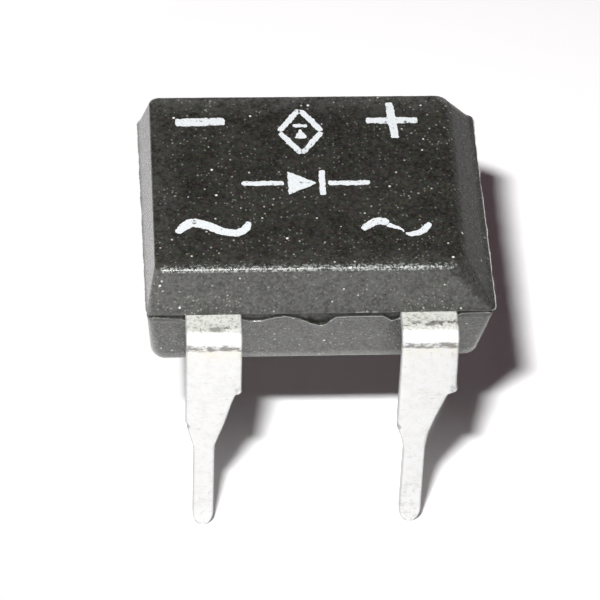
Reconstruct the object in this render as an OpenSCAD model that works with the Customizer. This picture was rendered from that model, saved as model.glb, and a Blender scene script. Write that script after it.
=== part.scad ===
// Four-lead moulded bridge rectifier.
// An epoxy block is moulded round a lead frame that holds four diode chips.
// The two alternating-current leads leave the front face, and the negative
// and positive leads leave the back face. The part stands on its lead tips:
// Z = 0 is the board, X runs along the body and +Y points to the back.

/* [Moulded body] */
// Length of the body at its parting line
body_length = 8.2; // [7.9:0.05:8.8]
// Depth of the body at its parting line
body_depth = 6.36; // [6.2:0.02:6.8]
// Height of the half above the parting line
upper_height = 1.2; // [1.1:0.02:1.6]
// Height of the half below the parting line
lower_height = 1.98; // [1.6:0.02:2.4]
// Lean of the long faces of the upper half, measured at the top
upper_side_inset = 0.32; // [0.1:0.02:0.5]
// Lean of the long faces of the lower half, measured at the underside
lower_side_inset = 0.45; // [0.1:0.02:0.6]
// Lean of the plain end of the upper half
upper_plain_inset = 0.19; // [0.05:0.01:0.4]
// Lean of the plain end of the lower half
lower_plain_inset = 0.13; // [0.05:0.01:0.4]
// Bevel that marks the positive end of the upper half
upper_bevel_inset = 0.76; // [0.4:0.02:1]
// Lean of the positive end of the lower half
lower_bevel_inset = 0.23; // [0.05:0.01:0.5]
// Radius of the upright corners
corner_radius = 0.34; // [0.26:0.02:0.6]
// Radius round the top face
top_edge_radius = 0.07; // [0.03:0.01:0.15]
// Radius round the underside
bottom_edge_radius = 0.24; // [0.05:0.01:0.25]

/* [Mould marks] */
// How far the thin fin of flash stands out at the parting line
flash_reach = 0.04; // [0.02:0.01:0.1]
// Thickness of the fin of flash
flash_thickness = 0.03; // [0.02:0.01:0.08]
// Width of the broken gate stub on the front
gate_width = 0.74; // [0.4:0.02:1.2]
// Depth of the gate stub below the parting line
gate_height = 0.2; // [0.1:0.02:0.4]
// Height of the broken face of the gate stub
gate_face = 0.07; // [0.03:0.01:0.09]
// How far the gate stub stands out
gate_reach = 0.1; // [0.06:0.01:0.2]
// Diameter of the ejector pin marks in the underside
ejector_diameter = 1.1; // [0.6:0.05:1.6]
// Depth of the ejector pin marks
ejector_depth = 0.06; // [0.03:0.01:0.12]
// Distance between the two ejector pin marks
ejector_spacing = 4.4; // [3:0.1:5]

/* [Leads] */
// Distance between the two leads of one side
lead_pitch = 5.08; // [4.9:0.02:5.3]
// Thickness of the lead frame
lead_thickness = 0.25; // [0.2:0.01:0.3]
// Width of a lead at its shoulders
lead_width = 1.32; // [1.1:0.02:1.5]
// Level run of a lead outside the body, before its bend
exit_length = 0.41; // [0.3:0.01:0.7]
// Inner radius of the bend
bend_radius = 0.12; // [0.08:0.01:0.3]
// Outward slope of the legs, in degrees
splay = 4.3; // [0:0.1:7]
// Height of the underside of the body above the board
seat_height = 4.24; // [4:0.02:4.7]
// Drop from the parting line to the shoulder where the long taper starts
long_shoulder_drop = 1.56; // [1.2:0.02:2]
// Drop from the parting line to the shoulder where the short taper starts
short_shoulder_drop = 2.84; // [2.4:0.02:3.2]
// Drop from the parting line to where the narrow pin starts
pin_drop = 3.62; // [3.4:0.02:4]
// Width of the narrow pin
pin_width = 0.51; // [0.46:0.01:0.58]
// How far the pin sits off the middle of its lead, towards the negative end
pin_offset = 0.23; // [0.1:0.01:0.3]
// Length of the rounded end of the pin
tip_length = 0.42; // [0.2:0.01:0.6]

/* [Diode chips] */
// Side of a square chip
chip_size = 1.3; // [1:0.05:1.4]
// Thickness of a chip
chip_thickness = 0.25; // [0.2:0.01:0.35]
// Gap between the chips of one row
chip_row_gap = 1.7; // [1.5:0.05:1.9]
// Gap between the two rows of chips
chip_column_gap = 0.9; // [0.7:0.05:1.1]
// Thickness of a solder layer
solder_thickness = 0.05; // [0.03:0.01:0.08]
// Bare rim of a chip outside its solder
solder_rim = 0.1; // [0.05:0.01:0.2]

/* [Lead frame] */
// Rim of a lead frame pad outside its chips
pad_rim = 0.1; // [0.05:0.01:0.15]
// Chamfer where a lead widens into its pad
neck_chamfer = 0.4; // [0.2:0.02:0.6]
// Least gap between two conductors at the same level
frame_gap = 0.3; // [0.2:0.01:0.35]
// Depth of moulding between the wall and the step of a back lead
step_cover = 0.3; // [0.2:0.02:0.4]
// Run of the step of a back lead
step_run = 0.46; // [0.3:0.02:0.48]

/* [Hidden] */

round_steps = 32;
land = 0.03; // upright band of the mould on each side of the parting line
overlap = 0.02; // how far a stub or a step runs into the stretch that it grows from

half_length = body_length / 2;
half_depth = body_depth / 2;
parting = seat_height + lower_height; // height of the parting line
top = parting + upper_height;

// Levels of the lead frame, upwards
lower_level = parting - lead_thickness; // underside of the lower pads
chip_level = parting + solder_thickness;
upper_solder_level = chip_level + chip_thickness;
upper_level = upper_solder_level + solder_thickness; // underside of the upper pads

// Plan of the lead frame
chip_x = (chip_row_gap + chip_size) / 2;
chip_y = (chip_column_gap + chip_size) / 2;
pad_half = chip_size / 2 + pad_rim;
pad_inner = chip_x - pad_half;
pad_outer = chip_x + pad_half;
row_near = chip_y - pad_half; // edge of a row of pads next to the middle
row_far = chip_y + pad_half; // edge of a row of pads next to the wall
lead_inner = (lead_pitch - lead_width) / 2;
lead_outer = (lead_pitch + lead_width) / 2;
step_start = half_depth - step_cover;
step_end = step_start - step_run;
strip_inner = pad_outer + frame_gap;
back_neck = min(neck_chamfer, step_end - row_far);

// Bend and leg
bend_y = half_depth + exit_length;
bend_z = lower_level - bend_radius;
leg_length = (bend_z + bend_radius * sin(splay)) / cos(splay);
bend_steps = 12;
bend_angles = [for (i = [0 : bend_steps]) (90 - splay) * i / bend_steps];
function bend_point(radius, angle) = [
    bend_y + radius * sin(angle),
    bend_z + radius * cos(angle)
];
function leg_end(radius) = bend_point(radius, 90 - splay) + leg_length * [sin(splay), -cos(splay)];
// Distance down the leg of a point that lies a given drop below the parting line
function down_leg(drop) = (drop - (parting - bend_z) + bend_radius * sin(splay)) / cos(splay);
// The rounded end stops one step short of its lowest point, which leaves a small flat
tip_step = 18;
tip_angles = [for (angle = [0 : tip_step : 180]) if (angle != 90) angle];
pin_end = leg_length - tip_length * cos(tip_step);

// ---- Moulded body ----

// Rounded disc at each corner of a half, for a hull
module corner_discs(plain, bevel, side, radius, edge, z) {
    for (x = [-half_length + plain + radius, half_length - bevel - radius])
        for (y = [-1, 1] * (half_depth - side - radius))
            translate([x, y, z])
                rotate_extrude($fn = round_steps)
                    intersection() {
                        translate([radius - edge, 0])
                            circle(r = edge, $fn = round_steps);
                        translate([0, -edge])
                            square([radius, 2 * edge]);
                    }
}

// Upright band at the parting line
module parting_band(reach, z, height) {
    for (x = [-1, 1] * (half_length - corner_radius))
        for (y = [-1, 1] * (half_depth - corner_radius))
            translate([x, y, z])
                cylinder(r = corner_radius + reach, h = height, $fn = round_steps);
}

module upper_half() {
    hull() {
        parting_band(0, parting, land);
        corner_discs(upper_plain_inset, upper_bevel_inset, upper_side_inset,
            corner_radius, top_edge_radius, top - top_edge_radius);
    }
}

module lower_half() {
    hull() {
        parting_band(0, parting - land, land);
        corner_discs(lower_plain_inset, lower_bevel_inset, lower_side_inset,
            corner_radius, bottom_edge_radius, seat_height + bottom_edge_radius);
    }
}

// Thin fin that the mould leaves along its joint
module flash() {
    hull()
        parting_band(flash_reach, parting, flash_thickness);
}

// Broken stub where the epoxy entered, on the front between the leads
module gate_stub() {
    translate([-gate_width / 2, 0, parting])
        rotate([90, 0, 90])
            linear_extrude(gate_width)
                polygon([
                    [-half_depth + overlap, 0],
                    [-half_depth - gate_reach, 0],
                    [-half_depth - gate_reach, -gate_face],
                    [-half_depth + overlap, -gate_height]
                ]);
}

module ejector_marks() {
    for (x = [-1, 1] * ejector_spacing / 2)
        translate([x, 0, seat_height - ejector_depth])
            cylinder(d = ejector_diameter, h = 2 * ejector_depth, $fn = round_steps);
}

module moulded_body() {
    color("#2b2b29")
        difference() {
            union() {
                upper_half();
                lower_half();
                flash();
                gate_stub();
            }
            ejector_marks();
            for (side = [-1, 1])
                ac_lead(side);
            negative_lead();
            positive_lead();
            for (x = [-1, 1], y = [-1, 1])
                chip_stack(x, y);
        }
}

// ---- Leads ----

// Strip seen from its edge: level run from inner_y outwards, bend and leg, as [y, z]
module strip_profile(inner_y) {
    polygon(concat(
        [[inner_y, lower_level], [inner_y, parting]],
        [for (angle = bend_angles) bend_point(bend_radius + lead_thickness, angle)],
        [leg_end(bend_radius + lead_thickness), leg_end(bend_radius)],
        [for (i = [len(bend_angles) - 1 : -1 : 0]) bend_point(bend_radius, bend_angles[i])]
    ));
}

// Outline of a lead seen face on, downwards from its bend, with its long taper on the +X side
module face_outline() {
    polygon(concat(
        [
            [-lead_width / 2, lead_width],
            [-lead_width / 2, -down_leg(short_shoulder_drop)],
            [-pin_offset - pin_width / 2, -down_leg(pin_drop)]
        ],
        [for (angle = tip_angles) [
            -pin_offset - pin_width / 2 * cos(angle),
            -pin_end - tip_length * sin(angle)
        ]],
        [
            [-pin_offset + pin_width / 2, -down_leg(pin_drop)],
            [lead_width / 2, -down_leg(long_shoulder_drop)],
            [lead_width / 2, lead_width]
        ]
    ));
}

// Level run, bend and leg of a lead that leaves towards +Y, from inner_y outwards
module outer_lead(inner_y) {
    intersection() {
        translate([-lead_width, 0, 0])
            rotate([90, 0, 90])
                linear_extrude(2 * lead_width)
                    strip_profile(inner_y);
        translate([0, bend_y, bend_z])
            rotate([90 + splay, 0, 0])
                linear_extrude(2 * bend_y, center = true)
                    face_outline();
    }
}

// Plan of an inner pad, as a plate at the given level
module pad_plate(level, outline) {
    translate([0, 0, level])
        linear_extrude(lead_thickness)
            polygon(outline);
}

// Front lead with its pad under the front and back chips of one side
module ac_lead(side) {
    color("#c4c5bf") {
        translate([side * lead_pitch / 2, 0, 0])
            mirror([0, 1, 0])
                outer_lead(row_far);
        pad_plate(lower_level, [
            [side * lead_inner, -row_far - neck_chamfer],
            [side * lead_outer, -row_far - neck_chamfer],
            [side * lead_outer, -row_far],
            [side * pad_outer, -row_far + lead_outer - pad_outer],
            [side * pad_outer, row_far],
            [side * pad_inner, row_far],
            [side * pad_inner, -row_far],
            [side * (lead_inner - neck_chamfer), -row_far]
        ]);
    }
}

// Back lead outside the body, with the step that lifts it over the chips
module stepped_lead(side) {
    translate([side * lead_pitch / 2, 0, 0]) {
        outer_lead(step_start);
        translate([-lead_width / 2, 0, 0])
            rotate([90, 0, 90])
                linear_extrude(lead_width)
                    polygon([
                        [step_start + overlap, lower_level],
                        [step_start + overlap, parting],
                        [step_start, parting],
                        [step_end, upper_level + lead_thickness],
                        [step_end - overlap, upper_level + lead_thickness],
                        [step_end - overlap, upper_level],
                        [step_end, upper_level],
                        [step_start, lower_level]
                    ]);
    }
}

// Back lead on the left, with its pad over the two back chips
module negative_lead() {
    color("#c4c5bf") {
        stepped_lead(-1);
        pad_plate(upper_level, [
            [-lead_outer, step_end],
            [-lead_outer, row_far],
            [-pad_outer, row_near],
            [pad_outer, row_near],
            [pad_outer, row_far],
            [-lead_inner + back_neck, row_far],
            [-lead_inner, row_far + back_neck],
            [-lead_inner, step_end]
        ]);
    }
}

// Back lead on the right, led past the back chips to its pad over the front ones
module positive_lead() {
    color("#c4c5bf") {
        stepped_lead(1);
        pad_plate(upper_level, [
            [lead_outer, step_end],
            [lead_outer, -row_near],
            [pad_outer, -row_far],
            [-pad_outer, -row_far],
            [-pad_outer, -row_near],
            [strip_inner, -row_near],
            [strip_inner, row_far + frame_gap],
            [lead_inner, row_far + frame_gap],
            [lead_inner, step_end]
        ]);
    }
}

// ---- Chips and their solder ----

// Square plate centred over one chip place
module chip_plate(x, y, size, level, thickness) {
    translate([x * chip_x - size / 2, y * chip_y - size / 2, level])
        cube([size, size, thickness]);
}

module chip(x, y) {
    color("#5f6672")
        chip_plate(x, y, chip_size, chip_level, chip_thickness);
}

module solder(x, y, level) {
    color("#a9abab")
        chip_plate(x, y, chip_size - 2 * solder_rim, level, solder_thickness);
}

module chip_stack(x, y) {
    solder(x, y, parting);
    chip(x, y);
    solder(x, y, upper_solder_level);
}

moulded_body();
ac_lead(-1);  // ac_lead_left
ac_lead(1);  // ac_lead_right
negative_lead();
positive_lead();
chip(-1, -1);  // chip_left_front
chip(1, -1);  // chip_right_front
chip(-1, 1);  // chip_left_back
chip(1, 1);  // chip_right_back
solder(-1, -1, parting);  // lower_solder_left_front
solder(1, -1, parting);  // lower_solder_right_front
solder(-1, 1, parting);  // lower_solder_left_back
solder(1, 1, parting);  // lower_solder_right_back
solder(-1, -1, upper_solder_level);  // upper_solder_left_front
solder(1, -1, upper_solder_level);  // upper_solder_right_front
solder(-1, 1, upper_solder_level);  // upper_solder_left_back
solder(1, 1, upper_solder_level);  // upper_solder_right_back
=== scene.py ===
from functools import partial
from math import atan, atan2, cos, hypot, pi, radians, sin, sqrt, tan

import bmesh
import bpy
from mathutils import Matrix, Vector, kdtree, noise


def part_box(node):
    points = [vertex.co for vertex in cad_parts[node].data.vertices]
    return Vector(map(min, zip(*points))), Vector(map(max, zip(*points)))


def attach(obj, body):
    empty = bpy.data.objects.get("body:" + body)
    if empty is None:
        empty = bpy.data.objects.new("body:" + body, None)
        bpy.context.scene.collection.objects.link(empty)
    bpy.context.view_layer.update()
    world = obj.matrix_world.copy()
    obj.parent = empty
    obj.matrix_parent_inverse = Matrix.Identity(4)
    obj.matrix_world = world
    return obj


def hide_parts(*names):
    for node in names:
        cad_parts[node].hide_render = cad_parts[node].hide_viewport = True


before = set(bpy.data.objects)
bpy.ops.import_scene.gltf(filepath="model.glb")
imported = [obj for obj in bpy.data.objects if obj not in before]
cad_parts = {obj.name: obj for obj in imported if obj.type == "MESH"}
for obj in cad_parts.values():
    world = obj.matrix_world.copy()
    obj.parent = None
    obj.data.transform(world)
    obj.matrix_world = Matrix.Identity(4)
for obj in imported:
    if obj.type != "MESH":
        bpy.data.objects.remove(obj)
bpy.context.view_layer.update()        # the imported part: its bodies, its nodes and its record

mm = 0.001
bodyLow, bodyHigh = (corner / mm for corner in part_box("moulded_body"))
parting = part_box("lower_solder_left_front")[0].z / mm   # height where the two halves of the mould met
under, top = bodyLow.z, bodyHigh.z


# Small helpers

def blendOver(low, high, value):   # smooth 0 to 1 as value goes from low to high
    share = min(1, max(0, (value - low) / (high - low)))
    return share * share * (3 - 2 * share)


def hump(a, b, c, d, value):   # smooth 0 to 1 from a to b, and back to 0 from c to d
    return blendOver(a, b, value) * (1 - blendOver(c, d, value))


def along(points, place):   # height at a place on a line of (place, height) points
    for (a, low), (b, high) in zip(points, points[1:]):
        if place <= b:
            return low + (high - low) * min(1, max(0, (place - a) / (b - a)))
    return points[-1][1]


def wobble(x, y, z, size, seed):   # soft noise from -1 to 1, size in mm
    return noise.noise(Vector((x / size + seed, y / size - seed, z / size + 0.37 * seed)))


def loft(rings):   # joins rings of equal length, and closes the two ends
    count = len(rings[0])
    points = [point for ring in rings for point in ring]
    faces = []
    for low in range(0, len(points) - count, count):
        high = low + count
        for i in range(count):
            j = (i + 1) % count
            faces.append((low + i, low + j, high + j, high + i))
    faces.append(tuple(reversed(range(count))))
    faces.append(tuple(range(len(points) - count, len(points))))
    return points, faces


def prism(outline, low, high):   # a plate with the given plan
    return loft([[(x, y, z) for x, y in outline] for z in (low, high)])


def makeMesh(name, points, faces):   # an object from points in mm
    mesh = bpy.data.meshes.new(name)
    mesh.from_pydata([Vector(point) * mm for point in points], [], faces)
    work = bmesh.new()
    work.from_mesh(mesh)
    bmesh.ops.recalc_face_normals(work, faces=work.faces)
    work.to_mesh(mesh)
    work.free()
    made = bpy.data.objects.new(name, mesh)
    bpy.context.scene.collection.objects.link(made)
    return made


def combine(target, others, operation):   # cuts or joins several solids, with the exact solver
    for other in others:
        step = target.modifiers.new(operation.lower(), "BOOLEAN")
        step.operation, step.solver, step.object = operation, "EXACT", other
    bpy.context.view_layer.update()
    shaped = bpy.data.meshes.new_from_object(target.evaluated_get(bpy.context.evaluated_depsgraph_get()))
    target.modifiers.clear()
    target.data = shaped


def remove(*objects):
    for item in objects:
        bpy.data.objects.remove(item)


def smooth(piece, angle):   # soft shading, with edges sharper than the angle kept
    piece.data.shade_smooth()
    piece.data.set_sharp_from_angle(angle=radians(angle))


def finishPiece(piece, finish, slotName=None, *nodes):
    piece.data.materials.clear()
    piece.data.materials.append(finish)
    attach(piece, "root")
    if nodes:
        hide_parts(*nodes)


# Camera

cameraPlace = {
    "turn": -4.66,   # degrees round the part, towards its left end
    "lift": 47.08,   # degrees above the board
    "roll": 2.58,
    "distance": 103.6,   # mm from the middle of the part, at the parting line
    "across": -0.351,   # mm from there to the middle of the view
    "above": -2.017,
    "lens": 259.1, "sensorWidth": 36,
    "clip": (0.002, 10),
}


def makeCamera(place):
    turn, lift, roll = (radians(place[key]) for key in ("turn", "lift", "roll"))
    back = Vector((sin(turn) * cos(lift), -cos(turn) * cos(lift), sin(lift)))
    level = Vector((cos(turn), sin(turn), 0))
    upright = back.cross(level)
    right = level * cos(roll) + upright * sin(roll)
    up = upright * cos(roll) - level * sin(roll)
    spot = right * place["across"] + up * place["above"] + back * place["distance"]
    spot = (spot + Vector((0, 0, parting))) * mm
    data = bpy.data.cameras.new("camera")
    data.lens, data.sensor_width = place["lens"], place["sensorWidth"]
    data.clip_start, data.clip_end = place["clip"]
    camera = bpy.data.objects.new("camera", data)
    bpy.context.scene.collection.objects.link(camera)
    camera.matrix_world = Matrix([(right[i], up[i], back[i], spot[i]) for i in range(3)] + [(0, 0, 0, 1)])
    bpy.context.scene.camera = camera


# Shader nodes

class Wire:   # a socket that can be used in a Python expression
    def __init__(self, finish, socket):
        self.finish, self.socket = finish, socket

    def value(self, operation, *others):
        return self.finish.node("ShaderNodeMath", {"operation": operation}, [self, *others])

    def __add__(self, other):
        return self.value("ADD", other)

    def __sub__(self, other):
        return self.value("SUBTRACT", other)

    def __rsub__(self, other):
        return self.finish.node("ShaderNodeMath", {"operation": "SUBTRACT"}, [other, self])

    def __mul__(self, other):
        return self.value("MULTIPLY", other)

    __radd__, __rmul__ = __add__, __mul__

    def most(self, other):
        return self.value("MAXIMUM", other)

    def least(self, other):
        return self.value("MINIMUM", other)

    def off(self, place):   # distance from a place
        return (self - place).value("ABSOLUTE")

    def rise(self, low, high):   # smooth 0 to 1 between two values
        settings = {"interpolation_type": "SMOOTHSTEP"}
        return self.finish.node("ShaderNodeMapRange", settings, [self, low, high])

    def fall(self, low, high):
        return 1 - self.rise(low, high)

    def between(self, a, b, c, d):   # rises from a to b and falls from c to d
        return self.rise(a, b) * self.fall(c, d)

    def parts(self):   # the three numbers of a vector
        split = self.finish.node("ShaderNodeSeparateXYZ", {}, [self]).socket.node
        return [Wire(self.finish, output) for output in split.outputs]

    def vector(self, operation, other):
        return self.finish.node("ShaderNodeVectorMath", {"operation": operation}, [self, other])

    def times(self, factors):   # a vector, or a colour as one, times another
        return self.vector("MULTIPLY", factors)

    def shifted(self, other):
        return self.vector("ADD", other)


class Finish:   # a material, or the world, that is being wired
    def __init__(self, name, owner=None):
        self.owner = owner or bpy.data.materials.new(name)
        self.owner.use_nodes = True
        self.tree = self.owner.node_tree
        self.tree.nodes.clear()

    def node(self, kind, settings=None, sockets=None, output=0):
        made = self.tree.nodes.new(kind)
        for key, value in (settings or {}).items():
            setattr(made, key, value)
        given = sockets.items() if isinstance(sockets, dict) else enumerate(sockets or [])
        for key, value in given:
            if isinstance(value, Wire):
                self.tree.links.new(value.socket, made.inputs[key])
            elif isinstance(value, tuple) and made.inputs[key].type == "RGBA":
                made.inputs[key].default_value = (*value, 1)
            else:
                made.inputs[key].default_value = value
        return Wire(self, made.outputs[output]) if made.outputs else None

    def place(self):   # position on the part in mm
        return self.node("ShaderNodeTexCoord", {}, {}, "Object").times((1 / mm,) * 3)

    def noise(self, place, scale, detail=2, roughness=0.5, output="Fac"):
        sockets = {"Vector": place, "Scale": scale, "Detail": detail, "Roughness": roughness}
        return self.node("ShaderNodeTexNoise", {}, sockets, output)

    def cells(self, place, scale, output="Distance"):
        return self.node("ShaderNodeTexVoronoi", {}, {"Vector": place, "Scale": scale}, output)

    def specks(self, place, scale, radius, kept, shift):   # round grains, which some of the cells leave out
        spot = place.shifted((shift, 2 * shift, -shift))
        near = self.cells(spot, scale).fall(radius * 0.6, radius)
        return near * self.cells(spot, scale, "Color").parts()[0].rise(kept, kept + 0.05)

    def mix(self, share, low, high):   # two colours
        return self.node("ShaderNodeMix", {"data_type": "RGBA"}, {0: share, 6: low, 7: high}, 2)

    def grey(self, level):
        return self.node("ShaderNodeCombineXYZ", {}, [level] * 3)

    def bump(self, height, depth):   # depth in mm
        sockets = {"Height": height, "Strength": 1.0, "Distance": depth * mm}
        return self.node("ShaderNodeBump", {}, sockets, "Normal")

    def rays(self):   # 1 where the camera sees the finish itself, and 1 where it sees it in metal or glass
        seen, glossy, passed = (self.node("ShaderNodeLightPath", {}, {}, kind) for kind in
                                ("Is Camera Ray", "Is Glossy Ray", "Is Transmission Ray"))
        return seen, glossy.most(passed)

    def cover(self, colour, look, layers):   # lays named colours over a colour, each by its share
        for name, share in layers:
            colour = self.mix(share, colour, look[name])
        return colour

    def output(self, shader, kind="ShaderNodeOutputMaterial"):
        self.node(kind, {}, {"Surface": shader})

    def surface(self, sockets):
        self.output(self.node("ShaderNodeBsdfPrincipled", {}, sockets))
        return self.owner


# Moulded body. Values for the sides go front, right, back, left,
# and values for the corners front right, back right, back left, front left

mould = {
    "length": 8.2, "depth": 6.36,   # at the parting line
    "upperInset": (0.32, 0.76, 0.47, 0.19),   # how far each wall leans in above the line
    "lowerInset": (0.42, 0.23, 0.6, 0.13),   # and below it
    "underCorner": (0.38, 0.34, 0.34, 0.34),  # radii of the corners, seen from above
    "lineCorner": (0.12, 0.16, 0.26, 0.15),
    "topCorner": (0.55, 0.38, 0.24, 0.22),
    "topEdge": (0.11, 0.30, 0.08, 0.05),   # radii of the rounded edges
    "underEdge": (0.06, 0.2, 0.2, 0.14),
    "backShift": 0.075,   # the line sits a little to the left at the back
    "backReach": 0.16, "backTurn": 0.006,   # and further back, by more at the left end
    "edgeWear": 0.9, "cornerWear": 0.6,   # painted highlight: the edges of the lower half are made paler
    "sideSteps": (260, 170, 250, 170), "cornerSteps": 16,
    "underArc": 8, "topArc": 10, "lowerWall": 7, "upperWall": 9,   # steps up the edges and the walls
    "underSteps": (0.3, 0.1, 0.03), "topSteps": (0.02, 0.08, 0.3),   # of the flat faces, in from the edge
}
seam = {
    "endBand": 0.225, "backBand": 0.19,   # height of the rough band; the front's follows frontRim
    "wallTop": 0.06,   # the plain wall ends this far below the band
    # Rise and reach of the lip, and its flash
    "lip": ((-0.024, 0.25, 0), (-0.01, 0.9, 0.9), (0.004, 1, 1), (0.014, 0.3, 0)),
    "lipReach": (0.02, 0.006, 0.02, 0.006),
    # Share of the band's height, and the painted shade of its gap
    "band": ((0, 0.8), (0.25, 0.6), (0.5, 0.55), (0.75, 0.7), (0.9, 1), (1, 1)),
    "bandFoot": 0.02, "bandHead": 0.006, "bandSink": (0.035, 0.004, 0.03, 0.004),
    # Rise and reach of the fin, its flash (at the right end also a painted highlight) and the painted shade
    # of its gap
    "fin": ((0.008, 0.7, 1, 0.6), (0.018, 1, 1, 0), (0.03, 0.9, 1, 0), (0.042, 0.2, 0, 0)),
    "finReach": (0.008, 0.05, 0.02, 0.03), "finFlash": (0.8, 1, 0.4, 0.15), "finTop": 0.055,
    "raggedFrom": -0.4, "raggedOver": 0.3,   # noise at which flash sets in, and over which it grows
    "shut": 0.7, "shutFrom": 3.2, "shutTo": 3.4,   # the line is nearly closed at both ends of the front
    "gateWidth": 0.66, "gateDepth": 0.05,
}
ejector = {"diameter": 1.1, "depth": 0.06, "spacing": 4.4, "edge": 0.015, "below": 0.1, "steps": 64}
# Upper rim of the lower half on the front, from left to right
frontRim = [
    (-4.1, 6.16), (-3.6, 6.1), (-3.2, 6.0), (-1.9, 6.0), (-1.66, 5.92), (-1.42, 5.93), (-1.14, 6.04),
    (-0.85, 6.12), (-0.55, 6.02), (-0.32, 5.87), (-0.25, 5.8), (0, 5.68), (0.16, 5.73), (0.24, 5.91),
    (0.34, 6.03), (0.7, 6.06), (1.5, 6.06), (1.62, 5.96), (1.72, 5.84), (1.86, 5.94), (3.2, 6.0),
    (3.32, 6.13), (4.1, 6.16),
]


def sampleRound():   # what each point of a ring lies on: a side or a corner, its number, and how far along
    samples = []
    for side in range(4):
        steps = mould["sideSteps"][side]
        samples += [("side", side, (i + 1) / (steps + 1)) for i in range(steps)]
        samples += [("corner", side, i / mould["cornerSteps"]) for i in range(mould["cornerSteps"] + 1)]
    return samples


roundBody = sampleRound()


def outward(kind, side, share):   # direction away from the body at a point of the ring
    angle = radians(-90 + 90 * side + (90 * share if kind == "corner" else 0))
    return cos(angle), sin(angle)


def sideMix(values, kind, side, share):   # a value of each side, blended round the corners
    if kind == "side":
        return values[side]
    mixed = blendOver(0, 1, share)
    return values[side] * (1 - mixed) + values[(side + 1) % 4] * mixed


def cornerRadius(corner, height):
    radii = [(level, mould[key][corner]) for level, key in
             ((under, "underCorner"), (parting, "lineCorner"), (top, "topCorner"))]
    return along(radii, height)


def bodyRing(insets, heights):   # a rounded rectangle whose four sides have their own inset and height
    front, right, back, left = insets
    low = (-mould["length"] / 2 + left, -mould["depth"] / 2 + front)
    high = (mould["length"] / 2 - right, mould["depth"] / 2 - back)
    radii = [cornerRadius(k, (heights[k] + heights[(k + 1) % 4]) / 2) for k in range(4)]
    signs = ((1, -1), (1, 1), (-1, 1), (-1, -1))
    centres = [
        ((high[0] if sx > 0 else low[0]) - sx * radius, (high[1] if sy > 0 else low[1]) - sy * radius)
        for (sx, sy), radius in zip(signs, radii)
    ]
    ring = []
    for sample in roundBody:
        kind, side, share = sample
        out = outward(*sample)
        if kind == "corner":
            x, y = (centres[side][i] + radii[side] * out[i] for i in (0, 1))
        else:
            ends = [[centres[k][i] + radii[k] * out[i] for i in (0, 1)] for k in ((side - 1) % 4, side)]
            x, y = (ends[0][i] + (ends[1][i] - ends[0][i]) * share for i in (0, 1))
        z = sideMix(heights, *sample)
        backness = y / mould["depth"] + 0.5
        x -= mould["backShift"] * backness * min(1, max(0, (top - z) / (top - parting)))
        y += (mould["backReach"] + mould["backTurn"] * (mould["length"] / 2 - x)) * backness
        ring.append([x, y, z])
    return ring


def layer(ring, flash=0, gap=0):   # a ring, with the pale flash and painted highlight, and the painted shade of the gap, at each point
    values = [tuple(item(*point, sample) if callable(item) else item for item in (flash, gap))
              for point, sample in zip(ring, roundBody)]
    return ring, values


class Half:   # one half of the body; way is 1 for the upper one and -1 for the lower
    def __init__(self, insets, edges, level, way):
        self.edges, self.level, self.way = edges, level, way
        self.height = abs(level - parting)
        self.leans = [atan(inset / self.height) for inset in insets]

    def arcs(self, share):   # inset and height on each rounded edge, from the wall (0) to the flat face (1)
        found = []
        for lean, radius in zip(self.leans, self.edges):
            angle = lean + (radians(90) - lean) * share
            centre = tan(lean) * (self.height - radius) + radius / cos(lean)
            rise = radius * sin(angle) - radius
            found.append((centre - radius * cos(angle), self.level + self.way * rise))
        return found

    def arcRing(self, share):
        return bodyRing(*zip(*self.arcs(share)))

    def flatRing(self, extra):   # on the flat face, further in than its edge
        return bodyRing([inset + extra for inset, height in self.arcs(1)], [self.level] * 4)


def underRings(lower):   # underside, and its rounded edge, made paler as a painted highlight
    layers = [layer(lower.flatRing(extra)) for extra in mould["underSteps"]]
    for i in range(mould["underArc"] + 1):
        rimHighlight = mould["edgeWear"] * sin(pi * max(0, i - 2) / 6.5) ** 0.5   # most in the upper part of the arc
        layers.append(layer(lower.arcRing(1 - i / mould["underArc"]), rimHighlight))
    return layers


def cornerWear(x, y, z, sample):   # painted highlight: paler down the front right corner of the lower half
    kind, side, share = sample
    return mould["cornerWear"] * max(0, 1 - abs(share - 0.8) / 0.2) if (kind, side) == ("corner", 0) else 0


def rimHeight(x, y, sample):   # where the lower half ends and the rough band begins
    front = along(frontRim, x) + 0.01 * wobble(x, 0, 0, 0.13, 3)
    back = parting - seam["backBand"] + 0.06 * wobble(x, 0, 0, 0.45, 7)
    ends = parting - seam["endBand"] + 0.02 * wobble(x, y, 0, 0.5, 4) + 0.01 * wobble(x, y, 0, 0.12, 9)
    return sideMix((front, ends, back, ends), *sample)


def opened(amount, x, y, z, sample):   # how far the line is open at a point
    shut = seam["shut"] * blendOver(seam["shutFrom"], seam["shutTo"], abs(x)) if y < 0 else 0
    return amount * (1 - shut)


def ragged(amount, x, y, z, sample):   # flash that comes and goes along the line
    rough = wobble(x, y, 0, 0.16, 5) + 0.5 * wobble(x, y, 0, 0.05, 8) + 0.35
    low = seam["raggedFrom"]
    return opened(amount, x, y, z, sample) * blendOver(low, low + seam["raggedOver"], rough)


def lipReach(share, x, y, z, sample):   # the rim of the lower half stands out a little
    return share * sideMix(seam["lipReach"], *sample) * (1 + 0.5 * wobble(x, y, 0, 0.15, 2))


def bandReach(x, y, z, sample):   # broken edge between the halves, with the pit of the gate on the front
    rough = 0.35 * wobble(x, y, z, 0.09, 5) + 0.25 * wobble(x, y, z, 0.035, 6)
    reach = -sideMix(seam["bandSink"], *sample) * (1 - rough)
    if sample[:2] == ("side", 0):
        half = seam["gateWidth"] / 2
        pit = hump(-half - 0.02, -half + 0.1, half - 0.1, half + 0.02, x)
        reach -= pit * seam["gateDepth"] * (1 + 0.6 * wobble(x, y, z, 0.12, 8))
    return reach


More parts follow.
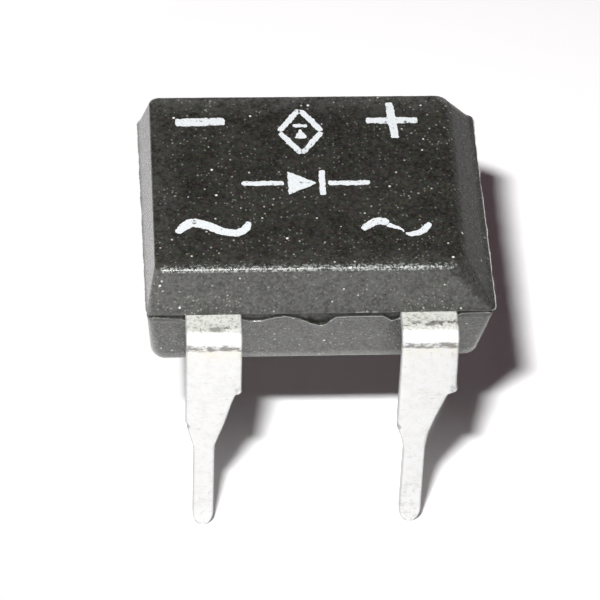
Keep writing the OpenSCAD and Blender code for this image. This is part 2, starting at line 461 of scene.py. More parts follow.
def finReach(share, x, y, z, sample):
    rough = 0.75 + 0.6 * wobble(x, y, 0, 0.3, 1) + 0.3 * wobble(x, y, 0, 0.08, 3)
    return share * sideMix(seam["finReach"], *sample) * rough


def finFlash(amount, x, y, z, sample):   # pale flash on the fin at the ends, and bits of it on the front; at the right end it is also a painted highlight
    front, right, back, left = seam["finFlash"]
    bits = blendOver(0.05, 0.3, wobble(x, 0, 0, 0.09, 4)) * hump(0.6, 0.8, 1.8, 2, x)
    return amount * sideMix((front * bits, right, back, left), *sample)


def pushed(x, y, z, sample, reachOf):   # a point moved out from the wall
    reach = reachOf(x, y, z, sample)
    outX, outY = outward(*sample)
    return [x + outX * reach, y + outY * reach, z]


def seamRings(start):   # from the foot of the lower wall to the fin between the halves
    base = bodyRing([0] * 4, [parting] * 4)
    rims = [rimHeight(x, y, sample) for (x, y, z), sample in zip(base, roundBody)]

    def wallRing(heightOf, reachOf=lambda *spot: 0):   # on the lower wall, each point at its own height
        ring = []
        for low, high, rim, sample in zip(start, base, rims, roundBody):
            z = heightOf(rim, low[2])
            share = (z - low[2]) / (high[2] - low[2])
            x, y = (low[i] + (high[i] - low[i]) * share for i in (0, 1))
            ring.append(pushed(x, y, z, sample, reachOf))
        return ring

    layers = []
    steps = mould["lowerWall"]
    for i in range(1, steps + 1):
        ring = wallRing(lambda rim, low: low + (rim - seam["wallTop"] - low) * i / steps)
        layers.append(layer(ring, cornerWear))
    for rise, reach, flash in seam["lip"]:
        ring = wallRing(lambda rim, low: rim + rise, partial(lipReach, reach))
        layers.append(layer(ring, partial(ragged, flash)))
    foot, head = seam["bandFoot"], seam["bandHead"]
    for share, gap in seam["band"]:
        ring = wallRing(lambda rim, low: rim + foot + (parting + head - rim - foot) * share, bandReach)
        layers.append(layer(ring, 0, partial(opened, gap)))
    for rise, reach, flash, gap in seam["fin"]:
        reachOf = partial(finReach, reach)
        ring = [pushed(x, y, parting + rise, sample, reachOf) for (x, y, z), sample in zip(base, roundBody)]
        layers.append(layer(ring, partial(finFlash, flash), gap))
    return layers


def upperRings(upper):   # upper wall, its rounded edge and the top
    layers = []
    foot, steps = seam["finTop"], mould["upperWall"]
    for i in range(1, steps):
        heights = [parting + foot + (height - parting - foot) * i / steps
                   for inset, height in upper.arcs(0)]
        insets = [tan(lean) * (height - parting) for lean, height in zip(upper.leans, heights)]
        layers.append(layer(bodyRing(insets, heights)))
    for i in range(mould["topArc"] + 1):
        ring = upper.arcRing(i / mould["topArc"])
        for point in ring:   # the edge is a little uneven
            x, y, z = point
            uneven = 0.004 * wobble(x, y, 0, 0.25, 2) + 0.003 * wobble(x, y, 0, 0.06, 5)
            point[2] += sin(pi * i / mould["topArc"]) * uneven
        layers.append(layer(ring))
    return layers + [layer(upper.flatRing(extra)) for extra in mould["topSteps"]]


def bodyRings():   # rings from the underside up, and the pale flash and painted highlight, and the painted shade of the gap, at their points
    layers = underRings(Half(mould["lowerInset"], mould["underEdge"], under, -1))
    layers += seamRings(layers[-1][0])
    layers += upperRings(Half(mould["upperInset"], mould["topEdge"], top, 1))
    return zip(*layers)


def ejectorPins():   # plugs that press their marks into the underside
    radius, edge = ejector["diameter"] / 2, ejector["edge"]
    levels = [(under - ejector["below"], radius), (under + ejector["depth"] - edge, radius),
              (under + ejector["depth"], radius - edge)]
    angles = [2 * pi * i / ejector["steps"] for i in range(ejector["steps"])]
    pins = []
    for side in (-1, 1):
        middle = side * ejector["spacing"] / 2
        rings = [[(middle + size * cos(angle), size * sin(angle), z) for angle in angles]
                 for z, size in levels]
        pins.append(makeMesh("pin", *loft(rings)))
    return pins


def markSeams(mesh, rings, traits):   # gives the finish the pale flash and painted highlight, and the painted shade of the gap, of the nearest point of the rings
    points = [point for ring in rings for point in ring]
    values = [trait for ring in traits for trait in ring]
    tree = kdtree.KDTree(len(points))
    for k, point in enumerate(points):
        tree.insert(Vector(point) * mm, k)
    tree.balance()
    stored = mesh.attributes.new("seam", "FLOAT_VECTOR", "POINT")
    for item, corner in zip(stored.data, mesh.vertices):
        flash, gap = values[tree.find(corner.co)[1]]
        item.vector = (flash, gap, 0)


epoxyLook = {
    "dark": (0.0095, 0.0095, 0.0075), "light": (0.057, 0.057, 0.049),   # of the mottle
    "tint": (2.0, 2.05, 2.0), "tintShare": 0.35,
    # the film colour is dust on the top, and on the walls also painted reflection
    "film": (0.105, 0.107, 0.100), "dust": (0.48, 0.49, 0.45), "coarse": (0.92, 0.93, 0.90),
    # the end colour is a painted reflection on the left end
    # the pale grains of the top's front edge are wear with a painted highlight
    "end": (0.34, 0.34, 0.33), "sparkle": (0.50, 0.53, 0.50),
    # the gap colour is painted shade in the gap between the halves, and the right end's pale colour is flash
    # with a painted highlight
    "gap": (0.010, 0.010, 0.005), "flash": (0.40, 0.42, 0.38), "rightFlash": (0.95, 0.95, 0.93),
    "roughness": 0.25, "refraction": 1.55, "specular": 0.5, "coatRoughness": 0.3, "relief": 0.010,
    "frontEdge": -2.79,   # y of the front edge of the top, worn and with a painted highlight
}


def epoxyFinish(look):
    f = Finish("black_epoxy")
    place = f.place()
    x, y, z = place.parts()
    grain = f.noise(place, 13, 3, 0.7)
    patch = f.noise(place, 4.5, 3, 0.6)
    cloud = f.noise(place, 0.8, 2)
    tint = f.noise(place.shifted((7, 3, 5)), 7, 2, 0.6, "Color")
    mottle = grain.rise(0.34, 0.68) * 0.55 + patch.rise(0.3, 0.7) * 0.25 + cloud.rise(0.35, 0.65) * 0.2
    colour = f.mix(mottle, look["dark"], look["light"])
    colour = f.mix(look["tintShare"], colour, colour.times(tint).times(look["tint"]))

    # A film of dust, thickest along the back, left and front of the top; on the walls the same film is also
    # painted reflection, an even lift that stands for the pale paper they reflect
    onTop = z.rise(top - 0.12, top - 0.04)
    film = (y.rise(2.1, 2.85) * 0.9).most(x.fall(-3.95, -2.9) * 0.4).most(y.fall(-2.8, -2.2) * 0.5)
    film = (film * onTop + (1 - onTop) * 0.5) * (grain * 0.7 + patch * 0.7).rise(0.4, 0.95)

    # Filler grains and dust: fine ones all over, more in two patches low on the front, and coarse ones
    dust = f.specks(place, 10, 0.27, 0.45, 1.3) * 0.35 + f.specks(place, 5.2, 0.16, 0.62, 4.1) * 0.75
    dust = dust * (cloud.rise(0.4, 0.6) * 0.6 + 0.4)
    dusty = x.off(-2.7).fall(0.5, 1.3).most(x.off(2.6).fall(0.2, 0.9))
    dusty = dusty * z.fall(parting + 0.15, parting + 0.9) * y.fall(-2.9, -2.8) * patch.rise(0.4, 0.55)
    dust = dust.most(f.specks(place, 12, 0.32, 0.3, 2.2) * dusty * 0.5)
    coarse = f.specks(place, 2.2, 0.085, 0.35, 8.7).most(f.specks(place, 3.7, 0.12, 0.6, 5.9) * 0.6)
    # The left end below the top is paler: painted reflection of the pale floor, which it faces at a grazing
    # angle
    end = x.fall(-4.12, -3.95) * z.fall(top - 0.12, top - 0.05)

    # The front edge of the top is paler in grains, partly wear and partly a painted highlight, and a few lie
    # on the top behind it
    edge = look["frontEdge"]
    worn = z.rise(top - 0.1, top - 0.07) * y.fall(edge - 0.04, edge + 0.2)
    worn = worn * x.between(-3.86, -3.7, 3.0, 3.5)
    grit = f.noise(place.shifted((3, 1, 2)), 15, 2, 0.65)
    sparkle = (grit + worn * 0.16).rise(0.6, 0.76) * worn

    # Painted shade on the rough band and the wall under it (shadowed) and in the dark gaps, and pale flash
    # at the line between the halves; on the lower edges and at the right end the pale colour is a painted
    # highlight
    shadowed = z.between(parting - 0.9, parting - 0.3, parting - 0.02, parting + 0.01)
    band = z.between(parting - 0.3, parting - 0.24, parting - 0.01, parting + 0.02)
    flash, gap = f.node("ShaderNodeAttribute", {"attribute_name": "seam"}, {}, "Vector").parts()[:2]
    broken = f.noise(place, 16, 3, 0.7)
    colour = f.cover(colour, look, [
        ("film", film), ("dust", dust.least(1)), ("coarse", coarse), ("end", end * (grain * 0.7 + 0.2)),
        ("sparkle", sparkle * 0.75), ("dark", shadowed * 0.45), ("gap", gap * 0.8),
    ])
    pale = f.mix(x.rise(3.6, 4.0), look["flash"], look["rightFlash"])
    colour = f.mix(flash * broken.rise(0.2, 0.5), colour, pale)

    resin = (z.rise(parting - 0.1, parting + 0.1) * 0.25 + 0.3) * x.rise(-4.1, -3.95)
    roughness = (patch - 0.5) * 0.14 + dust * 0.2 + band * 0.2 + gap * 0.3 + sparkle * 0.1
    height = grain * 0.6 + patch * 0.4 + dust * 0.8 + band * broken * 2 + grit * worn * 0.8
    return f.surface({
        "Base Color": colour, "Roughness": (roughness + look["roughness"]).least(0.9),
        "IOR": look["refraction"], "Specular IOR Level": look["specular"],
        "Coat Weight": (grain.rise(0.4, 0.6) * resin + dust * 0.5).least(1),
        "Coat Roughness": look["coatRoughness"], "Normal": f.bump(height, look["relief"]),
    })


# Leads, in mm from the middle of the body

leadShape = {
    "pitch": 5.08, "width": 1.32, "thickness": 0.25, "exit": 0.41, "bendRadius": 0.12,
    "splay": 4.3,   # degrees that they lean outwards
    "wallDepth": 3.18,   # of the parting line
    "edgeRadius": 0.05, "rollOver": 0.085,   # of the punched edges, and of the one beside the long taper
    "innerEdge": 0.6,   # share of the rounding that the inner face's edges have
    "tipLength": 0.42, "tipShare": 0.985, "step": 0.04,
    "taper": (2.4, 2.8, 4.3, 4.45),   # heights between which that one is rolled
    "leanFrom": 5.8,   # height from which a lead leans to one side
    "padNear": 0.35, "padFar": 1.85, "padInner": 0.75, "padOuter": 2.25,
    "overlap": 0.2,   # of the strip and its pad
    "stepStart": 2.88, "stepEnd": 2.42, "stepRadius": 0.15, "rise": 0.6, "gap": 0.3, "neck": 0.4,
    "level": 7,   # height that stands for the level run in leadEdges
}
# Side (-1 left, 1 right), way (-1 front, 1 back) and lean of each lead, then the x of its left and
# of its right edge, from its own middle, by the height above the board
leadEdges = {
    "ac_lead_left": {
        "side": -1, "way": -1, "lean": 0.0,
        "left": [(0, -0.455), (2.5, -0.455), (2.72, -0.478), (2.92, -0.528), (3.12, -0.578), (3.34, -0.622),
                 (3.4, -0.60), (3.46, -0.655), (7, -0.66)],
        "right": [(0, 0.048), (2.5, 0.048), (2.68, 0.06), (3.4, 0.28), (4.06, 0.444), (4.31, 0.525),
                  (4.36, 0.56), (4.39, 0.64), (4.44, 0.672), (4.52, 0.66), (7, 0.66)],
    },
    "ac_lead_right": {
        "side": 1, "way": -1, "lean": -0.03,
        "left": [(0, -0.49), (2.4, -0.48), (2.6, -0.50), (2.8, -0.54), (3.1, -0.63), (3.2, -0.665),
                 (3.26, -0.64), (3.34, -0.67), (7, -0.67)],
        "right": [(0, 0.04), (2.4, 0.04), (2.56, 0.05), (3.0, 0.105), (3.5, 0.25), (3.98, 0.41),
                  (4.24, 0.50), (4.3, 0.56), (4.34, 0.69), (4.42, 0.72), (4.6, 0.685), (7, 0.67)],
    },
    "negative_lead": {
        "side": -1, "way": 1, "lean": 0.02,
        "left": [(0, -0.49), (2.5, -0.48), (2.75, -0.52), (3.1, -0.60), (3.36, -0.655), (7, -0.66)],
        "right": [(0, 0.03), (2.55, 0.03), (2.72, 0.06), (3.4, 0.27), (4.33, 0.53), (4.38, 0.62),
                  (4.44, 0.665), (7, 0.66)],
    },
    "positive_lead": {
        "side": 1, "way": 1, "lean": -0.015,
        "left": [(0, -0.485), (2.5, -0.485), (2.75, -0.52), (3.12, -0.60), (3.4, -0.655), (7, -0.66)],
        "right": [(0, 0.025), (2.55, 0.025), (2.7, 0.05), (3.42, 0.27), (4.35, 0.54), (4.4, 0.63),
                  (4.46, 0.66), (7, 0.66)],
    },
}
bendStart = leadShape["wallDepth"] + leadShape["exit"]


def filletPath(corners, radii, step):   # points and directions along a polyline with rounded corners
    path = []

    def straight(start, end):
        count = max(1, round((end - start).length / step))
        for i in range(count):
            path.append((start + (end - start) * i / count, (end - start).normalized()))

    here = Vector(corners[0])
    for before, corner, after, radius in zip(corners, corners[1:], corners[2:], radii):
        corner = Vector(corner)
        arrive, leave = (corner - Vector(before)).normalized(), (Vector(after) - corner).normalized()
        turn = atan2(arrive.x * leave.y - arrive.y * leave.x, arrive.dot(leave))
        reach = radius * tan(abs(turn) / 2)
        begin = corner - arrive * reach
        straight(here, begin)
        side = Vector((-arrive.y, arrive.x)) * (1 if turn > 0 else -1)
        centre = begin + side * radius
        count = max(6, round(abs(turn) / radians(4)))
        for i in range(count):
            spin = Matrix.Rotation(turn * i / count, 2)
            path.append((centre + spin @ (begin - centre), spin @ arrive))
        here = corner + leave * reach
    straight(here, Vector(corners[-1]))
    path.append((Vector(corners[-1]), (Vector(corners[-1]) - here).normalized()))
    return path


def stripSection(left, right, half, radii):   # outline of the strip, outer face first, with its four edges
    corners = [(left, half, radii[0], 180), (right, half, radii[1], 90),
               (right, -half, radii[2], 0), (left, -half, radii[3], -90)]
    outline = []
    for k, (x, n, radius, start) in enumerate(corners):
        radius = min(radius, (right - left) * 0.45, half * 0.98)
        cx = x + (radius if x == left else -radius)
        cn = n - radius if n > 0 else n + radius
        for i in range(6):
            angle = radians(start - 90 * i / 5)
            outline.append((cx + radius * cos(angle), cn + radius * sin(angle)))
        if k in (0, 2):   # points across the two wide faces
            here, ahead = outline[-1], corners[k + 1]
            other = (ahead[0] - ahead[2] if ahead[0] == right else ahead[0] + ahead[2])
            outline += [(here[0] + (other - here[0]) * i / 8, here[1]) for i in range(1, 8)]
    return outline


def leadPath(way):   # middle of the strip from its pad to its tip, as distance from the middle and height
    shape = leadShape
    half, splay = shape["thickness"] / 2, radians(shape["splay"])
    level = parting - half
    bend = shape["bendRadius"] + half
    turnY = bendStart + bend * tan((pi / 2 - splay) / 2)
    reach = (level - half * sin(splay)) / cos(splay)
    if way < 0:
        corners, radii = [(shape["padFar"] - shape["overlap"], level)], []
    else:
        raised = level + shape["rise"]
        corners = [(shape["padFar"] + shape["overlap"], raised), (shape["stepEnd"], raised),
                   (shape["stepStart"], level)]
        radii = [shape["stepRadius"]] * 2
    corners += [(turnY, level), (turnY + reach * sin(splay), level - reach * cos(splay))]
    return filletPath(corners, [*radii, bend], shape["step"])


def makeLead(name):
    shape, edges = leadShape, leadEdges[name]
    side, way = edges["side"], edges["way"]
    half, tipLength, edge = shape["thickness"] / 2, shape["tipLength"], shape["edgeRadius"]
    path = leadPath(way)
    last, downwards = path[-1]
    tipStart = last - downwards * tipLength * shape["tipShare"]
    path = [(point, course) for point, course in path
            if point.y > last.y + tipLength or point.x < bendStart]
    shares = [sin(radians(angle)) for angle in range(0, 73, 6)]
    path += [(tipStart + downwards * tipLength * share, downwards) for share in shares]
    path.append((last, downwards))
    rings = []
    for point, course in path:
        normal = Vector((-course.y, course.x))
        height = point.y if point.x > bendStart - 0.01 else shape["level"]
        left, right = along(edges["left"], height), along(edges["right"], height)
        over = (point - tipStart).dot(course) / tipLength if height < 1 else 0
        if over > 0:   # the tip is round
            middle = (left + right) / 2
            reach = (right - left) / 2 * sqrt(max(0.02, 1 - min(over, 0.99) ** 2))
            left, right = middle - reach, middle + reach
        rolled = edge + (shape["rollOver"] - edge) * hump(*shape["taper"], height)
        inner = edge * shape["innerEdge"]
        middle = side * shape["pitch"] / 2
        lean = edges["lean"] * blendOver(shape["leanFrom"], 0, height)
        ring = []
        for across, out in stripSection(left, right, half, (edge, rolled, inner, inner)):
            spot = point + normal * out
            ring.append((middle + across + lean, way * spot.x, spot.y))
        rings.append(ring)
    lowest = min(z for ring in rings for x, y, z in ring)
    tail = [k for k, (point, course) in enumerate(path) if point.y < 1]
    for k in tail:   # the tip just meets the board
        rings[k] = [(x, y, z - lowest * (k - tail[0] + 1) / len(tail)) for x, y, z in rings[k]]
    strip = makeMesh(name + "_piece", *loft(rings))
    pad = makeMesh("pad", *padPlate(side, way))
    combine(strip, [pad], "UNION")
    remove(pad)
    return strip


def padPlate(side, way):   # the part of the lead frame that carries the chips
    s = leadShape
    near, glowShare, inner, outer = s["padNear"], s["padFar"], s["padInner"], s["padOuter"]
    leadIn, leadOut = s["pitch"] / 2 - s["width"] / 2, s["pitch"] / 2 + s["width"] / 2
    low = parting - s["thickness"] + (s["rise"] if way > 0 else 0)
    if way < 0:
        outline = [(leadIn, -glowShare - s["neck"]), (leadOut, -glowShare - s["neck"]), (leadOut, -glowShare),
                   (outer, -glowShare + leadOut - outer), (outer, glowShare), (inner, glowShare), (inner, -glowShare),
                   (leadIn - s["neck"], -glowShare)]
        outline = [(side * x, y) for x, y in outline]
    elif side < 0:
        neck = min(s["neck"], s["stepEnd"] - glowShare)
        outline = [(-leadOut, s["stepEnd"]), (-leadOut, glowShare), (-outer, near), (outer, near), (outer, glowShare),
                   (-leadIn + neck, glowShare), (-leadIn, glowShare + neck), (-leadIn, s["stepEnd"])]
    else:
        strip = outer + s["gap"]
        outline = [(leadOut, s["stepEnd"]), (leadOut, -near), (outer, -glowShare), (-outer, -glowShare), (-outer, -near),
                   (strip, -near), (strip, glowShare + s["gap"]), (leadIn, glowShare + s["gap"]), (leadIn, s["stepEnd"])]
    return prism(outline, low, low + s["thickness"])


tinLook = {
    "bright": (0.74, 0.74, 0.738), "dull": (0.56, 0.58, 0.53), "stained": (0.80, 0.76, 0.64),
    # the bend colour is a painted highlight on the bend
    "bend": (0.93, 0.93, 0.925), "level": (0.84, 0.85, 0.80), "mottle": (0.42, 0.45, 0.36),
    "side": (0.42, 0.42, 0.43), "grime": (0.16, 0.155, 0.14),
    "metal": 0.6, "lessMetal": 0.4,   # and how much less of it shows where the tin is rough or matt
    "roughness": 0.36, "relief": 0.006,
    "scrapeDrop": 0.33,   # from the parting line to the scraped line
}


def tinFinish(look):
    f = Finish("tinned_lead")
    place = f.place()
    x, y, z = place.parts()
    grain = f.noise(place, 16, 3, 0.6)
    patch = f.noise(place, 4, 3, 0.6)
    spots = f.noise(place, 11, 3, 0.7)
    streak = f.noise(place.times((9, 9, 1.1)), 1.6, 3, 0.6)
    ragged = f.noise(place.times((1.0, 1.0, 2.2)), 5, 4, 0.7)
    scratches = f.noise(place.times((1.5, 1.5, 7)), 2.2, 3, 0.65).rise(0.6, 0.72)
    rightwards = x.rise(-1, 1)

    # Faces turned sideways or down are darker: partly duller punched metal, partly painted shade on the
    # edges and the tip
    nx, ny, nz = f.node("ShaderNodeTexCoord", {}, {}, "Normal").parts()
    side = nx.off(0).rise(0.15, 0.7).most((nz * -1).rise(0.2, 0.7))

    # Level run beside the body: mottled, with flecks of moulding left on it and one dark blot
    level = z.rise(parting - 0.06, parting - 0.01)
    fleck = level * spots.rise(0.55, 0.66)
    blot = (x.off(-2.5) * 0.6).most(y.off(-3.64) * 1.6) + (spots - 0.5) * 0.3

    # The bending tool left a rough line before the bend, and scraped a ragged one across just under it
    before = z.rise(parting - 0.12, parting - 0.08) * y.off(0).between(3.44, 3.5, 3.6, 3.66)
    before = before * (f.noise(place.times((1, 2, 2)), 2.6, 4, 0.7) + rightwards * 0.1).rise(0.56, 0.66)
    line = parting - look["scrapeDrop"]
    # The bend is made paler: painted highlight, for the lamp and the pale paper that the bend reflects
    bend = z.rise(line + 0.04, line + 0.09) * (1 - level)
    scrape = (z + (patch - 0.5) * 0.12).off(line).fall(0.05, 0.12) * ragged.rise(0.40, 0.56)
    below = z.between(line - 0.6, line - 0.02, line - 0.02, line + 0.02) * patch.rise(0.3, 0.6)

    # Marks on the pins and here and there, nicks in two edges, and burrs on two shoulders
    low = z.fall(0.8, 1.8) * (f.noise(place, 5.5, 4, 0.7) + rightwards * 0.05).rise(0.56, 0.62)
    marks = f.noise(place.shifted((2, 9, 4)), 6, 4, 0.7).rise(0.60, 0.68) * (1 - level)
    nick = (x.off(-3.16) + z.off(3.36) * 0.6).least(x.off(1.89) + z.off(3.22) * 0.6)
    burr = x.off(-1.94).least(x.off(3.16)).fall(0.05, 0.13) * z.between(4.34, 4.4, 4.55, 4.65)

    worn = patch.rise(0.42, 0.75) * 0.35 + scratches * 0.7 + grain.rise(0.5, 0.7) * 0.15
    colour = f.cover(f.mix(worn, look["bright"], look["dull"]), look, [
        ("stained", below * 0.5), ("bend", bend),
        ("level", level), ("mottle", level * grain.rise(0.46, 0.62) * 0.5),
        ("grime", blot.fall(0.05, 0.14) * 0.75), ("side", low * 0.4), ("side", marks * 0.3),
        ("grime", nick.fall(0.05, 0.11) * 0.6),
        ("side", burr * spots.rise(0.42, 0.55) * 0.7), ("side", side * 0.65),
        ("grime", (fleck * 0.6 + scrape * 0.8 + before * 0.8).least(1)),
    ])
    rough = scrape + before
    height = grain * 0.4 + streak * 0.6 + ragged * rough * 2.5 + fleck * 1.2 + patch * 0.8
    return f.surface({
        "Base Color": colour,
        "Metallic": look["metal"] - (rough + level + bend).least(1) * look["lessMetal"],
        "Roughness": look["roughness"] + (patch - 0.5) * 0.2 + level * 0.1 + scrape * 0.15 + side * 0.1,
        "Normal": f.bump(height, look["relief"]),
    })


# Chips and solder, which the moulding hides

hiddenLook = {
    "silicon": {"dark": (0.10, 0.11, 0.13), "light": (0.20, 0.22, 0.26),
                "metal": 0.3, "roughness": 0.35, "grain": 6},
    "solder": {"dark": (0.42, 0.43, 0.43), "light": (0.60, 0.61, 0.60),
               "metal": 0.9, "roughness": 0.4, "grain": 9},
}


def hiddenFinish(name):
    look = hiddenLook[name]
    f = Finish(name)
    place = f.place()
    grain = f.noise(place, look["grain"], 3, 0.6)
    fine = f.noise(place, look["grain"] * 6, 2)
    return f.surface({
        "Base Color": f.mix(grain.rise(0.3, 0.7), look["dark"], look["light"]), "Metallic": look["metal"],
        "Roughness": look["roughness"] + (fine - 0.5) * 0.2, "Normal": f.bump(grain + fine * 0.4, 0.003),
    })


# Printed marks

printing = {
    "proud": 0.006, "sunk": 0.004, "spacing": 0.025, "softened": 4, "ragged": 0.022,
    "ink": (0.93, 0.97, 0.98), "thinInk": (0.74, 0.79, 0.82), "bare": (0.07, 0.07, 0.07), "roughness": 0.5,
}
markPlaces = {
    "minus": (-2.71, 2.03, 1.2, 0.25, 1),   # middle, length, width and tilt, as for each bar
    "plus": (1.93, 2.01, 1.24, 1.2, 0.19, -4),   # middle, two lengths, width and lean
    # Points of each stroke, and its widths by the share of its length
    "leftWave": [
        ([(-3.36, -1.68), (-3.22, -1.48), (-2.98, -1.33), (-2.62, -1.44), (-2.28, -1.62), (-1.98, -1.68),
          (-1.76, -1.56), (-1.65, -1.33)],
         [(0, 0.11), (0.08, 0.2), (0.3, 0.26), (0.6, 0.23), (0.9, 0.2), (1, 0.08)]),
    ],
    "rightWave": [
        ([(1.0, -1.62), (1.14, -1.50), (1.34, -1.37), (1.52, -1.37), (1.62, -1.44)],
         [(0, 0.1), (0.15, 0.2), (0.6, 0.24), (0.9, 0.2), (1, 0.12)]),
        ([(1.62, -1.47), (1.76, -1.54), (1.9, -1.60), (1.99, -1.72)],
         [(0, 0.14), (0.3, 0.12), (0.7, 0.07), (1, 0.03)]),
        ([(2.0, -1.76), (2.14, -1.78), (2.34, -1.74), (2.5, -1.62), (2.62, -1.42)],
         [(0, 0.04), (0.25, 0.14), (0.6, 0.17), (0.9, 0.16), (1, 0.07)]),
    ],
    # Diamond of a bridge with one diode in it, and a diode in a line below it
    "diamond": ((-0.82, 1.66), (-0.30, 2.42), (0.22, 1.66), (-0.30, 0.90)), "pen": 0.15,
    "smallDiode": [(-0.47, 1.44), (-0.13, 1.44), (-0.3, 1.76)], "smallBar": (-0.3, 1.86, 0.38, 0.1, 0),
    "diode": [(-0.68, -0.46), (-0.68, 0.32), (0.02, -0.07)], "bar": (0.14, -0.07, 0.82, 0.15, 90),
    "wires": ((-1.28, -0.06, 1.0, 0.14, 0), (0.78, -0.08, 1.0, 0.14, 0)),
}


def neighbours(points):   # each point of a closed outline, between the ones before and after it
    return zip(points[-1:] + points[:-1], points, points[1:] + points[:1])


def resample(outline):   # even points round a closed outline, with a ragged edge
    points = []
    for (ax, ay), (bx, by) in zip(outline, outline[1:] + outline[:1]):
        count = max(1, round(hypot(bx - ax, by - ay) / printing["spacing"]))
        points += [(ax + (bx - ax) * i / count, ay + (by - ay) * i / count) for i in range(count)]
    for k in range(printing["softened"]):   # takes the sharpness off the corners
        points = [tuple((before + 2 * here + after) / 4 for before, here, after in zip(*trio))
                  for trio in neighbours(points)]
    moved = []
    for (px, py), (x, y), (nx, ny) in neighbours(points):
        length = hypot(nx - px, ny - py) or 1
        push = printing["ragged"] * (wobble(x, y, 0, 0.07, 3) + 0.8 * wobble(x, y, 0, 0.2, 6))
        moved.append((x + (ny - py) / length * push, y - (nx - px) / length * push))
    return moved


def stroke(line, widths):   # outline of a pen stroke along a line of (x, y), with rounded ends
    left, right = [], []
    for k, (x, y) in enumerate(line):
        (px, py), (nx, ny) = line[max(0, k - 1)], line[min(len(line) - 1, k + 1)]
        length = hypot(nx - px, ny - py)
        ux, uy = (nx - px) / length, (ny - py) / length
        half = along(widths, k / (len(line) - 1)) / 2
        left.append((x - uy * half, y + ux * half))
        right.append((x + uy * half, y - ux * half))
    return left + right[::-1]


def bar(x, y, length, width, tilt):   # a straight stroke about its middle
    dx, dy = cos(radians(tilt)) * length / 2, sin(radians(tilt)) * length / 2
    line = [(x + dx * share, y + dy * share) for share in (-1, -0.96, 0.96, 1)]
    return stroke(line, [(0, width * 0.75), (0.33, width), (0.66, width), (1, width * 0.75)])


def curve(points, steps=12):   # a smooth line through points
    line = []
    ends = [points[0], *points, points[-1]]
    for a, b, c, d in zip(ends, ends[1:], ends[2:], ends[3:]):
        for t in (i / steps for i in range(steps)):
            line.append(tuple(
                0.5 * (2 * q + (r - p) * t + (2 * p - 5 * q + 4 * r - s) * t * t
                       + (3 * q - p - 3 * r + s) * t ** 3)
                for p, q, r, s in zip(a, b, c, d)))
    line.append(points[-1])
    return line


def cross(x, y, across, upright, width, tilt):   # a plus sign whose upright leans
    half, lean = width / 2, tan(radians(tilt))
    a, u = across / 2, upright / 2

    def at(dx, dy):
        return x + dx + lean * dy, y + dy
    return [at(-a, -half), at(-half, -half), at(-half, -u), at(half, -u), at(half, -half), at(a, -half),
            at(a, half), at(half, half), at(half, u), at(-half, u), at(-half, half), at(-a, half)]


def makeMark(name, outlines, finish):
    points, faces = [], []
    for outline in outlines:
        more, skin = prism(resample(outline), top - printing["sunk"], top + printing["proud"])
        faces += [tuple(k + len(points) for k in face) for face in skin]
        points += more
    finishPiece(makeMesh(name, points, faces), finish)


def makeMarks(finish):
    place = markPlaces
    pen = place["pen"]
    sides = []
    for (ax, ay), (bx, by) in zip(place["diamond"], place["diamond"][1:] + place["diamond"][:1]):
        line = [(ax + (bx - ax) * share, ay + (by - ay) * share) for share in (0.03, 0.1, 0.9, 0.97)]
        sides.append(stroke(line, [(0, pen * 0.7), (0.33, pen), (0.66, pen), (1, pen * 0.7)]))
    before, after = (bar(*wire) for wire in place["wires"])
    outlines = {
        "minus_mark": [bar(*place["minus"])],
        "plus_mark": [cross(*place["plus"])],
        "wave_mark_left": [stroke(curve(points), widths) for points, widths in place["leftWave"]],
        "wave_mark_right": [stroke(curve(points), widths) for points, widths in place["rightWave"]],
        "bridge_symbol": [*sides, place["smallDiode"], bar(*place["smallBar"])],
        "diode_symbol": [before, place["diode"], bar(*place["bar"]), after],
    }
    for name, shapes in outlines.items():
        makeMark(name, shapes, finish)


def inkFinish(look):
    f = Finish("marking_ink")
    place = f.place()
    worn = f.noise(place, 9, 4, 0.7)
    fine = f.noise(place, 30, 2)
    colour = f.mix(fine.rise(0.3, 0.75), look["ink"], look["thinInk"])
    return f.surface({
        "Base Color": f.mix(worn.rise(0.59, 0.66) * 0.85, colour, look["bare"]),
        "Roughness": look["roughness"] + (fine - 0.5) * 0.3, "Normal": f.bump(fine + worn, 0.004),
    })


# Stage

stage = {
    "floorHalf": 2.0,   # metres
    "lamp": (-13.4, -44.3, 77.6), "lampSize": (10, 4.5), "lampLevel": 0.97,
    "ambient": (0.045, 0.030, 0.035), "backdrop": (1, 1, 1),
    "floorColour": 0.86, "floorShown": 1.3,
    "floorRight": 0.25,   # what is left of its reflection towards the right
    "floorEnds": (28, 60),   # mm over which the floor turns into the backdrop
    "bounce": 0.12,   # painted light: the floor glows a little in front of the part, for light that the leads throw on their shadows
}


def makeFloor():
    half = stage["floorHalf"] / mm
    corners = [(-half, -half, 0), (half, -half, 0), (half, half, 0), (-half, half, 0)]
    floor = makeMesh("floor", corners, [(0, 1, 2, 3)])
    f = Finish("pale_floor")
    seen, mirrored = f.rays()
    x, y, z = f.place().parts()
    glowShare = (x * x + y * y).value("SQRT").rise(*stage["floorEnds"])
    glowShare = glowShare.most(x.fall(-3.2, -2.85) * seen)   # painted light: the floor glows to the left of the part, so no shadow shows there
    # painted light on the floor's shadows in front of the part
    glowShare = glowShare.most(y.fall(-3.2, 0) * seen * stage["bounce"])
    dim = 1 - x.rise(3, 12) * (1 - stage["floorRight"])
    colour, shown = stage["floorColour"], stage["floorShown"]
    level = colour + (shown - colour) * seen + (dim * shown - colour) * mirrored
    paper = f.node("ShaderNodeBsdfDiffuse", {}, [f.grey(level)])
    glow = f.node("ShaderNodeEmission", {}, [f.grey(dim.most(seen))])
    f.output(f.node("ShaderNodeMixShader", {}, {0: glowShare, 1: paper, 2: glow}))
    floor.data.materials.append(f.owner)


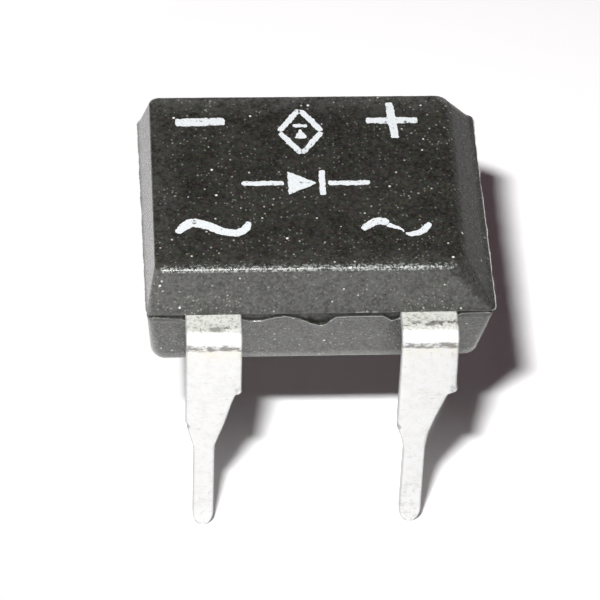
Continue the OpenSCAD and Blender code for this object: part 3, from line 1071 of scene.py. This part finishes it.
def makeWorld():
    world = bpy.data.worlds.new("world")
    bpy.context.scene.world = world
    f = Finish("world", world)
    seen, mirrored = f.rays()
    x, y, z = f.node("ShaderNodeTexCoord", {}, {}, "Generated").parts()
    low = z.fall(0.22, 0.5) * (1 - x.rise(0.3, 0.8) * 0.8)   # pale backdrop, below a dark ceiling
    colour = f.mix(mirrored * low, stage["ambient"], stage["backdrop"])
    colour = f.mix(seen, colour, stage["backdrop"])
    f.output(f.node("ShaderNodeBackground", {}, {"Color": colour, "Strength": 1}), "ShaderNodeOutputWorld")


def makeLamp():
    place = Vector(stage["lamp"]) * mm
    aim = Vector((0, 0, parting / 2)) * mm
    away = place - aim
    data = bpy.data.lights.new("key_lamp", "AREA")
    data.shape = "ELLIPSE"
    data.size, data.size_y = (size * mm for size in stage["lampSize"])
    # A white surface that lies flat under the lamp shows at the lamp's level
    data.energy = stage["lampLevel"] * pi ** 2 * away.length_squared / away.normalized().z
    lamp = bpy.data.objects.new("key_lamp", data)
    bpy.context.scene.collection.objects.link(lamp)
    lamp.matrix_world = Matrix.Translation(place) @ away.to_track_quat("Z", "Y").to_matrix().to_4x4()


# Everything together

scene = bpy.context.scene
scene.view_settings.view_transform = "Standard"
makeCamera(cameraPlace)
makeFloor()
makeWorld()
makeLamp()
print("stage ready")

leads = {name: makeLead(name) for name in leadEdges}
print("leads ready")

rings, traits = bodyRings()
body = makeMesh("body_moulding", *loft(rings))
pins = ejectorPins()
hidden = [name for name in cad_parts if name.startswith(("chip", "lower_solder", "upper_solder"))]
combine(body, [*leads.values(), *pins, *(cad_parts[name] for name in hidden)], "DIFFERENCE")
remove(*pins)
markSeams(body.data, rings, traits)
smooth(body, 32)
finishPiece(body, epoxyFinish(epoxyLook), "epoxy", "moulded_body")
print("body ready")

tin = tinFinish(tinLook)
for name, lead in leads.items():
    smooth(lead, 35)
    finishPiece(lead, tin, "tinned_lead", name)
silicon, solder = hiddenFinish("silicon"), hiddenFinish("solder")
for name in hidden:
    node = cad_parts[name]
    node.data.materials.clear()
    node.data.materials.append(silicon if name.startswith("chip") else solder)
makeMarks(inkFinish(printing))
print("finishes ready")
